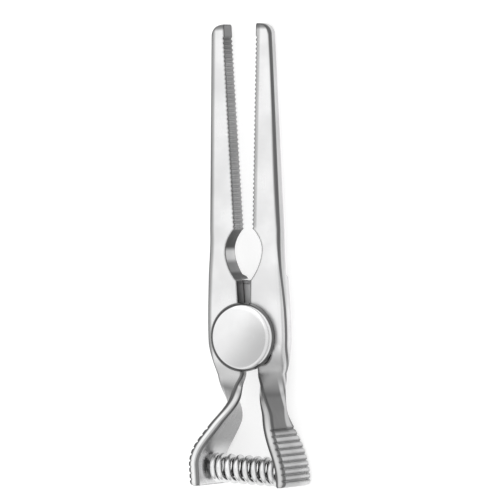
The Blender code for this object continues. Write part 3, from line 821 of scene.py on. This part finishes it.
def lofted(name, rings):
    """A solid through rings of equally many points, in millimetres about the middle of the joint."""
    count = len(rings[0])
    last = (len(rings) - 1) * count
    faces = [tuple(range(count)), tuple(range(last, last + count))]
    for low in range(0, last, count):
        for i in range(count):
            after = (i + 1) % count
            faces.append((low + i, low + after, low + count + after, low + count + i))
    mesh = bpy.data.meshes.new(name)
    mesh.from_pydata([Vector(point) * MM for ring in rings for point in ring], [], faces)
    shape = bmesh.new()
    shape.from_mesh(mesh)
    bmesh.ops.recalc_face_normals(shape, faces=shape.faces)
    shape.to_mesh(mesh)
    shape.free()
    made = bpy.data.objects.new(name, mesh)
    bpy.context.scene.collection.objects.link(made)
    return made


def disc_outline(radius, wide_radius=0, wide_from=0, wide_to=0):
    outline = []
    for i in range(LUG_SEGMENTS):
        angle = 2 * pi * i / LUG_SEGMENTS
        reach = wide_radius if wide_from < angle < wide_to else radius
        outline.append((reach * cos(angle), reach * sin(angle)))
    return outline


def prism(outline, low, high):
    return lofted("tool", [[(x, y, z) for x, y in outline] for z in (low, high)])


def cut_or_join(target, operation, tool):
    modifier = target.modifiers.new("form", "BOOLEAN")
    modifier.operation = operation
    modifier.object = tool
    evaluated = target.evaluated_get(bpy.context.evaluated_depsgraph_get())
    mesh = bpy.data.meshes.new_from_object(evaluated)
    target.modifiers.clear()
    target.data = mesh
    bpy.data.objects.remove(tool)


def lap_joint(arm, side):
    """Halves the arm at the joint, leaves its round lug, and bores it for the rivet."""
    layer = LAYER[side]
    lap = layer * LAP_GAP / 2
    pocket = disc_outline(LUG_RADIUS + LUG_SIDE_CLEARANCE)
    if side == LEFT:
        edge = pi / 2 + atan2(TAB_REACH_X, LUG_RADIUS) + CLOSING_SWING - 2 * HALF_OPENING + POCKET_SPARE
        reach = hypot(TAB_REACH_X, TAB_TOP_Y) + LUG_SIDE_CLEARANCE
        pocket = disc_outline(LUG_RADIUS + LUG_SIDE_CLEARANCE, reach, POCKET_START, edge)
    cut_or_join(arm, "DIFFERENCE", prism(pocket, *sorted((lap, -layer * JOINT_THICKNESS))))
    lug = sorted((lap, layer * (JOINT_THICKNESS / 2 - LUG_RELIEF)))
    cut_or_join(arm, "UNION", prism(disc_outline(LUG_RADIUS), *lug))
    if side == RIGHT:
        low = -JOINT_THICKNESS / 2 + 2 * LUG_RELIEF
        high = -LAP_GAP / 2 - LUG_RELIEF
        bevel = [(TAB_TOP_Y, high - TAB_CHAMFER), (TAB_TOP_Y - TAB_CHAMFER, high)]
        profile = [(0, low), (TAB_TOP_Y, low), *bevel, (0, high)]
        tongue = [[(x, y, z) for y, z in profile] for x in (-TAB_REACH_X, 2 * INNER_X)]
        cut_or_join(arm, "UNION", lofted("tool", tongue))
    cut_or_join(arm, "DIFFERENCE", prism(disc_outline(BORE_RADIUS), -JOINT_THICKNESS, JOINT_THICKNESS))


def bore_socket(arm, side):
    """The blind hole in the grip's inner face that the spring's peg stands in."""
    y = SPRING_Y[side]
    face = tail_centre_x(y, side) - TAIL_THICKNESS / 2
    turns = [2 * pi * i / SOCKET_SEGMENTS for i in range(SOCKET_SEGMENTS)]
    rings = []
    for x in (face - 1, face + SOCKET_DEPTH):
        rings.append([
            (side * x, y + SOCKET_RADIUS * cos(turn), SOCKET_RADIUS * sin(turn)) for turn in turns
        ])
    cut_or_join(arm, "DIFFERENCE", lofted("tool", rings))


def smooth_but_crisp(piece, angle):
    piece.data.shade_smooth()
    piece.data.set_sharp_from_angle(angle=radians(angle))


def forge_arm(name, side, node, body, finish):
    rings = [[Vector((side * p.x, p.y, p.z)) for p in ring] for ring in arm_rings(side)]
    arm = lofted(name, rings)
    lap_joint(arm, side)
    bore_socket(arm, side)
    lift = Matrix.Translation(Vector((0, 0, MIDDLE_Z)) * MM)
    arm.data.transform(lift @ Matrix.Rotation(-side * HALF_OPENING, 4, "Z"))
    arm.data.materials.clear()
    arm.data.materials.append(finish)
    smooth_but_crisp(arm, 28)
    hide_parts(node)
    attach(arm, body)


forge_arm("left_forging", LEFT, "left_arm", "left_half", arm_steel)
forge_arm("right_forging", RIGHT, "right_arm", "right_half", arm_steel)


# the rivet


RIVET_SEGMENTS = 160
UPSET_STEPS = 8
ROUNDING_STEPS = 13
CROWN_STEPS = 12
HEAD_RADIUS = 5.55
HEAD_LOW = 2.35
HEAD_HIGH = 4.25
HEAD_ROUNDING = 1.0
HEAD_CROWN = 0.12
SHANK_RADIUS = 1.6
UPSET_RADIUS = 2.4
UPSET_FLAT_RADIUS = 1.6
UPSET_HIGH = -2.85
UPSET_HEIGHT = 0.6
UPSET_ROUNDING = 0.4
HEAD_CHAMFER = 0.08


def turn_rivet(finish):
    """The broad head with its rolled edge and faint crown, the shank, and the upset rear end."""
    profile = [(UPSET_FLAT_RADIUS, UPSET_HIGH - UPSET_HEIGHT)]
    for i in range(1, UPSET_STEPS + 1):
        angle = pi / 2 * i / UPSET_STEPS
        reach = between(UPSET_FLAT_RADIUS, UPSET_RADIUS, sin(angle))
        profile.append((reach, UPSET_HIGH - UPSET_HEIGHT + UPSET_ROUNDING * (1 - cos(angle))))
    profile += [(UPSET_RADIUS, UPSET_HIGH), (SHANK_RADIUS, UPSET_HIGH), (SHANK_RADIUS, HEAD_LOW)]
    profile += [(HEAD_RADIUS - HEAD_CHAMFER, HEAD_LOW), (HEAD_RADIUS, HEAD_LOW + HEAD_CHAMFER)]
    flat = HEAD_RADIUS - HEAD_ROUNDING
    for i in range(ROUNDING_STEPS + 1):
        angle = pi / 2 * i / ROUNDING_STEPS
        profile.append((flat + HEAD_ROUNDING * cos(angle), HEAD_HIGH - HEAD_ROUNDING * (1 - sin(angle))))
    for i in range(1, CROWN_STEPS):
        share = i / CROWN_STEPS
        profile.append((flat * (1 - share), HEAD_HIGH + HEAD_CROWN * sin(pi / 2 * share)))
    turns = [2 * pi * i / RIVET_SEGMENTS for i in range(RIVET_SEGMENTS)]
    rings = [
        [(radius * cos(turn), radius * sin(turn), height) for turn in turns] for radius, height in profile
    ]
    rivet = lofted("turned_rivet", rings)
    rivet.data.transform(Matrix.Translation(Vector((0, 0, MIDDLE_Z)) * MM))
    rivet.data.materials.append(finish)
    smooth_but_crisp(rivet, 35)
    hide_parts("pivot_rivet")
    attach(rivet, "left_half")


turn_rivet(head_steel)


# the wound spring


def wound_wire_tree(finish):
    """Wire wound round X: one closed turn, the open turns, one closed turn, then capped flat."""
    tree = bpy.data.node_groups.new("wound_wire", "GeometryNodeTree")
    tree.interface.new_socket("Geometry", in_out="INPUT", socket_type="NodeSocketGeometry")
    for title, value in (
        ("Start", 0.0), ("End", 0.01), ("Closed Pitch", 0.001), ("Open Turns", 5.0), ("Coil Radius", 0.002),
        ("Wire Radius", 0.0005),
    ):
        socket = tree.interface.new_socket(title, in_out="INPUT", socket_type="NodeSocketFloat")
        socket.default_value = value
    for title, value in (("Steps per Turn", 48), ("Wire Sides", 20)):
        socket = tree.interface.new_socket(title, in_out="INPUT", socket_type="NodeSocketInt")
        socket.default_value = value
    tree.interface.new_socket("Geometry", in_out="OUTPUT", socket_type="NodeSocketGeometry")
    given = tree.nodes.new("NodeGroupInput").outputs
    turns = maths(tree, "ADD", given["Open Turns"], 2.0)
    steps = product(tree, turns, given["Steps per Turn"])
    line = wired(tree, "GeometryNodeCurvePrimitiveLine", {"End": (1.0, 0.0, 0.0)})
    points = wired(tree, "GeometryNodeResampleCurve", {
        "Curve": line.outputs[0], "Count": maths(tree, "ADD", steps, 1.0),
    }, mode="COUNT")
    index = tree.nodes.new("GeometryNodeInputIndex").outputs[0]
    turn = maths(tree, "DIVIDE", index, given["Steps per Turn"])
    last_open = maths(tree, "ADD", given["Open Turns"], 1.0)
    first_closed = maths(tree, "MINIMUM", turn, 1.0)
    last_closed = maths(tree, "MAXIMUM", maths(tree, "SUBTRACT", turn, last_open), 0.0)
    closed = maths(tree, "ADD", first_closed, last_closed)
    opened = maths(tree, "MINIMUM", maths(tree, "MAXIMUM", maths(tree, "SUBTRACT", turn, 1.0), 0.0),
                   given["Open Turns"])
    length = maths(tree, "SUBTRACT", given["End"], given["Start"])
    left_over = maths(tree, "SUBTRACT", length, product(tree, given["Closed Pitch"], 2.0))
    open_pitch = maths(tree, "DIVIDE", left_over, given["Open Turns"])
    along = maths(tree, "MULTIPLY_ADD", closed, given["Closed Pitch"], given["Start"])
    along = maths(tree, "MULTIPLY_ADD", opened, open_pitch, along)
    angle = product(tree, turn, 2 * pi)
    across = product(tree, maths(tree, "COSINE", angle), given["Coil Radius"])
    upward = product(tree, maths(tree, "SINE", angle), given["Coil Radius"])
    place = wired(tree, "ShaderNodeCombineXYZ", {"X": along, "Y": across, "Z": upward})
    bent = wired(tree, "GeometryNodeSetPosition", {
        "Geometry": points.outputs[0], "Position": place.outputs[0],
    })
    round_wire = wired(tree, "GeometryNodeCurvePrimitiveCircle", {
        "Resolution": given["Wire Sides"], "Radius": given["Wire Radius"],
    }, mode="RADIUS")
    wire = wired(tree, "GeometryNodeCurveToMesh", {
        "Curve": bent.outputs[0], "Profile Curve": round_wire.outputs[0], "Fill Caps": True,
    })
    smooth = wired(tree, "GeometryNodeSetShadeSmooth", {"Geometry": wire.outputs[0]})
    real = wired(tree, "GeometryNodeRealizeInstances", {"Geometry": smooth.outputs[0]})
    steel = wired(tree, "GeometryNodeSetMaterial", {"Geometry": real.outputs[0], "Material": finish})
    result = tree.nodes.new("NodeGroupOutput")
    tree.links.new(steel.outputs[0], result.inputs[0])
    return tree


def made_by_nodes(name, tree, **values):
    """The plain mesh that a tree of Geometry Nodes makes."""
    holder = bpy.data.objects.new(name, bpy.data.meshes.new(name))
    bpy.context.scene.collection.objects.link(holder)
    modifier = holder.modifiers.new(name, "NODES")
    modifier.node_group = tree
    sockets = {item.name: item.identifier for item in tree.interface.items_tree if item.in_out == "INPUT"}
    for title, value in values.items():
        modifier[sockets[title.replace("_", " ")]] = value
    evaluated = holder.evaluated_get(bpy.context.evaluated_depsgraph_get())
    mesh = bpy.data.meshes.new_from_object(evaluated)
    holder.modifiers.clear()
    old = holder.data
    holder.data = mesh
    bpy.data.meshes.remove(old)
    mesh.name = name
    return holder


def wind_spring():
    spring = made_by_nodes(
        "wound_spring", wound_wire_tree(wire_finish), Start=COIL_START, End=COIL_END,
        Closed_Pitch=CLOSED_PITCH, Open_Turns=OPEN_TURNS, Coil_Radius=COIL_RADIUS, Wire_Radius=WIRE_RADIUS,
        Steps_per_Turn=40, Wire_Sides=18,
    )
    axis = (RIGHT_SEAT - LEFT_SEAT).normalized()
    turn = Vector((1, 0, 0)).rotation_difference(axis).to_matrix().to_4x4()
    spring.data.transform(Matrix.Translation(LEFT_SEAT) @ turn)
    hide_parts("coil_spring")
    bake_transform(spring)


wind_spring()


# floor, light and camera


def resting_plane():
    """Height at the pivot and slope along Y of the floor the clamp lies on: grips and jaw tips touch it."""
    points = [v.co.copy() for name in ("left_arm", "right_arm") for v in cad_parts[name].data.vertices]
    grips = [p for p in points if p.y < 0]
    jaws = [p for p in points if p.y > 0]
    low, high = 0.0, 0.2
    for _ in range(40):
        slope = (low + high) / 2
        if min(p.z - slope * p.y for p in grips) < min(p.z - slope * p.y for p in jaws):
            low = slope
        else:
            high = slope
    return min(p.z - low * p.y for p in grips), low


# How much the table's own white adds to what the camera and the metal see of it
TABLE_GLOW = 0.63
TABLE_HALF_WIDTH = 1.6
TABLE_GAP = 0.02 * MM


def lay_floor():
    height, slope = resting_plane()
    half = TABLE_HALF_WIDTH
    corners = [(-half, -half), (half, -half), (half, half), (-half, half)]
    mesh = bpy.data.meshes.new("table")
    mesh.from_pydata([(x, y, height + slope * y - TABLE_GAP) for x, y in corners], [], [(0, 1, 2, 3)])
    table = bpy.data.objects.new("table", mesh)
    bpy.context.scene.collection.objects.link(table)
    white = bpy.data.materials.new("white_table")
    white.use_nodes = True
    tree = white.node_tree
    shader = tree.nodes["Principled BSDF"]
    shader.inputs["Base Color"].default_value = (0.5, 0.5, 0.5, 1)
    shader.inputs["Roughness"].default_value = 0.9
    shader.inputs["Specular IOR Level"].default_value = 0.1
    shader.inputs["Emission Color"].default_value = (1, 1, 1, 1)
    path = tree.nodes.new("ShaderNodeLightPath").outputs
    seen = maths(tree, "MAXIMUM", path["Is Camera Ray"], path["Is Glossy Ray"])
    seen = maths(tree, "MAXIMUM", seen, path["Is Transmission Ray"])
    tree.links.new(product(tree, seen, TABLE_GLOW), shader.inputs["Emission Strength"])
    mesh.materials.append(white)


CLAMP_MIDDLE = Vector((0, 12, 0)) * MM


def soft_lamp(name, place, size, power):
    light = bpy.data.lights.new(name, "AREA")
    light.shape = "RECTANGLE"
    light.size, light.size_y = size
    light.energy = power
    lamp = bpy.data.objects.new(name, light)
    bpy.context.scene.collection.objects.link(lamp)
    lamp.location = place
    lamp.rotation_euler = (CLAMP_MIDDLE - Vector(place)).to_track_quat("-Z", "Y").to_euler()


def light_studio():
    soft_lamp("top_softbox", place=(-0.1, 0.55, 0.7), size=(1.0, 1.0), power=0.9)
    soft_lamp("front_fill", place=(-0.3, -0.55, 0.45), size=(0.9, 0.7), power=0.4)
    world = bpy.data.worlds.new("studio")
    bpy.context.scene.world = world
    world.use_nodes = True
    tree = world.node_tree
    background = tree.nodes["Background"]
    direction = tree.nodes.new("ShaderNodeTexCoord").outputs["Generated"]
    toward = parts(tree, direction)
    # brighter overhead than near the horizon, and a little brighter from the right
    overhead = spread(tree, toward["Z"], 0.05, 0.65, 0.5, 1.06)
    from_right = product(tree, maths(tree, "MAXIMUM", toward["X"], 0.0), 0.2)
    tree.links.new(maths(tree, "ADD", overhead, from_right), background.inputs["Strength"])
    background.inputs["Color"].default_value = (1, 1, 1, 1)


def place_camera():
    level = cos(CAMERA_LIFT)
    back = Vector((sin(CAMERA_TURN) * level, sin(CAMERA_LIFT), cos(CAMERA_TURN) * level))
    up = Vector((0, 1, 0))
    up = (up - up.dot(back) * back).normalized()
    right = up.cross(back)
    roll = Matrix.Rotation(CAMERA_ROLL, 3, back)
    right, up = roll @ right, roll @ up
    data = bpy.data.cameras.new("photo_camera")
    camera = bpy.data.objects.new("photo_camera", data)
    bpy.context.scene.collection.objects.link(camera)
    across = (PICTURE_SIDE / 2 - PIVOT_PIXEL[0]) / PIXELS_PER_MM * MM
    above = (PIVOT_PIXEL[1] - PICTURE_SIDE / 2) / PIXELS_PER_MM * MM
    aim = PIVOT_POINT + right * across + up * above
    basis = Matrix((right, up, back)).transposed().to_4x4()
    camera.matrix_world = Matrix.Translation(aim + back * CAMERA_DISTANCE) @ basis
    data.sensor_width = SENSOR_WIDTH
    data.lens = SENSOR_WIDTH * PIXELS_PER_MM / MM * CAMERA_DISTANCE / PICTURE_SIDE
    data.clip_start = 0.05
    data.clip_end = 10
    bpy.context.scene.camera = camera


lay_floor()
light_studio()
place_camera()
bpy.context.scene.view_settings.view_transform = "Standard"
